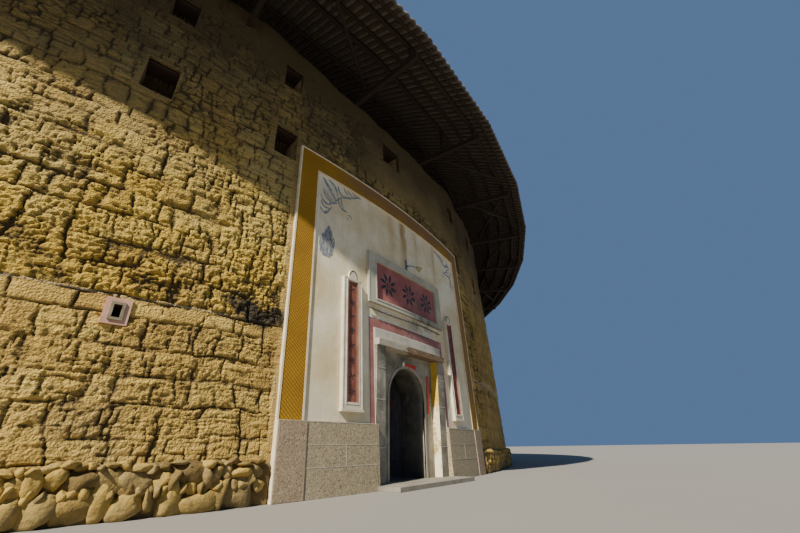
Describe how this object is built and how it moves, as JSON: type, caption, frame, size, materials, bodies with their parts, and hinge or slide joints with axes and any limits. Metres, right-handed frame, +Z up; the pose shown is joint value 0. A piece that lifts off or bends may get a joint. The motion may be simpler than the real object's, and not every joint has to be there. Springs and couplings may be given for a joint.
{
  "type": "tulou roundhouse, 1:2 scale model",
  "caption": "Round rammed-earth house with a tiled ring roof, timber galleries round a courtyard, small windows and a plastered gate panel with an arched doorway.",
  "frame": {"origin": "centre of the ring on the ground plane", "axes": "+Z up, -Y out through the gate, +X to the right seen from outside the gate"},
  "size_m": [32.5192, 32.5192, 7.7812],
  "materials": {
    "rammed_earth": "rough weathered rammed earth, ochre tan with cracks",
    "boulder_stone": "rough river boulders in earth mortar",
    "old_timber": "aged dark reddish brown timber",
    "clay_tile": "matte dark grey fired clay tile",
    "cream_plaster": "stained cream lime plaster",
    "ochre_paint": "ochre painted plaster",
    "granite": "speckled dressed granite",
    "grey_stone": "grey dressed stone and cement, worn",
    "red_board": "faded brick red painted plaster board",
    "gate_wood": "dark grey worn gate timber",
    "pink_plaster": "pinkish plaster rim"
  },
  "bodies": {
    "house": {"earth_wall_left_front": "rammed_earth", "earth_wall_left_side": "rammed_earth", "earth_wall_left_back": "rammed_earth", "earth_wall_right_front": "rammed_earth", "earth_wall_right_side": "rammed_earth", "earth_wall_right_back": "rammed_earth", "gate_wall_left": "rammed_earth", "gate_wall_right": "rammed_earth", "gate_wall_over": "rammed_earth", "boulder_footing_left": "boulder_stone", "boulder_footing_right": "boulder_stone", "ground_storey_frame": "old_timber", "second_storey_frame": "old_timber", "third_storey_frame": "old_timber", "fourth_storey_frame": "old_timber", "gallery_floor_2": "old_timber", "gallery_floor_3": "old_timber", "gallery_floor_4": "old_timber", "gallery_railing_2": "old_timber", "gallery_railing_3": "old_timber", "gallery_railing_4": "old_timber", "eave_beams": "old_timber", "middle_purlin": "old_timber", "ridge_purlin": "old_timber", "inner_purlin": "old_timber", "gate_lintel": "old_timber", "gate_pivot_head": "old_timber", "roof_outer_slope": "clay_tile", "roof_inner_slope": "clay_tile", "roof_ridge": "clay_tile", "panel_plaster": "cream_plaster", "side_board_left": "cream_plaster", "side_board_right": "cream_plaster", "panel_border": "ochre_paint", "granite_dado_left": "granite", "granite_dado_right": "granite", "gate_post_left": "grey_stone", "gate_post_right": "grey_stone", "gate_arch": "grey_stone", "gate_threshold": "grey_stone", "gate_step": "grey_stone", "gate_pivot_sill": "grey_stone", "name_board_frame": "grey_stone", "name_board": "red_board", "vent_rim": "pink_plaster"},
    "left_leaf": {"gate_leaf_left": "gate_wood"},
    "right_leaf": {"gate_leaf_right": "gate_wood"}
  },
  "joints": [
    {"name": "left_leaf_hinge", "type": "hinge", "parent": "house", "child": "left_leaf", "pos_m": [-0.47, -14.42, 0.5], "axis": [0, 0, -1], "range_deg": [0, 90]},
    {"name": "right_leaf_hinge", "type": "hinge", "parent": "house", "child": "right_leaf", "pos_m": [0.47, -14.42, 0.5], "axis": [0, 0, 1], "range_deg": [0, 90]}
  ]
}
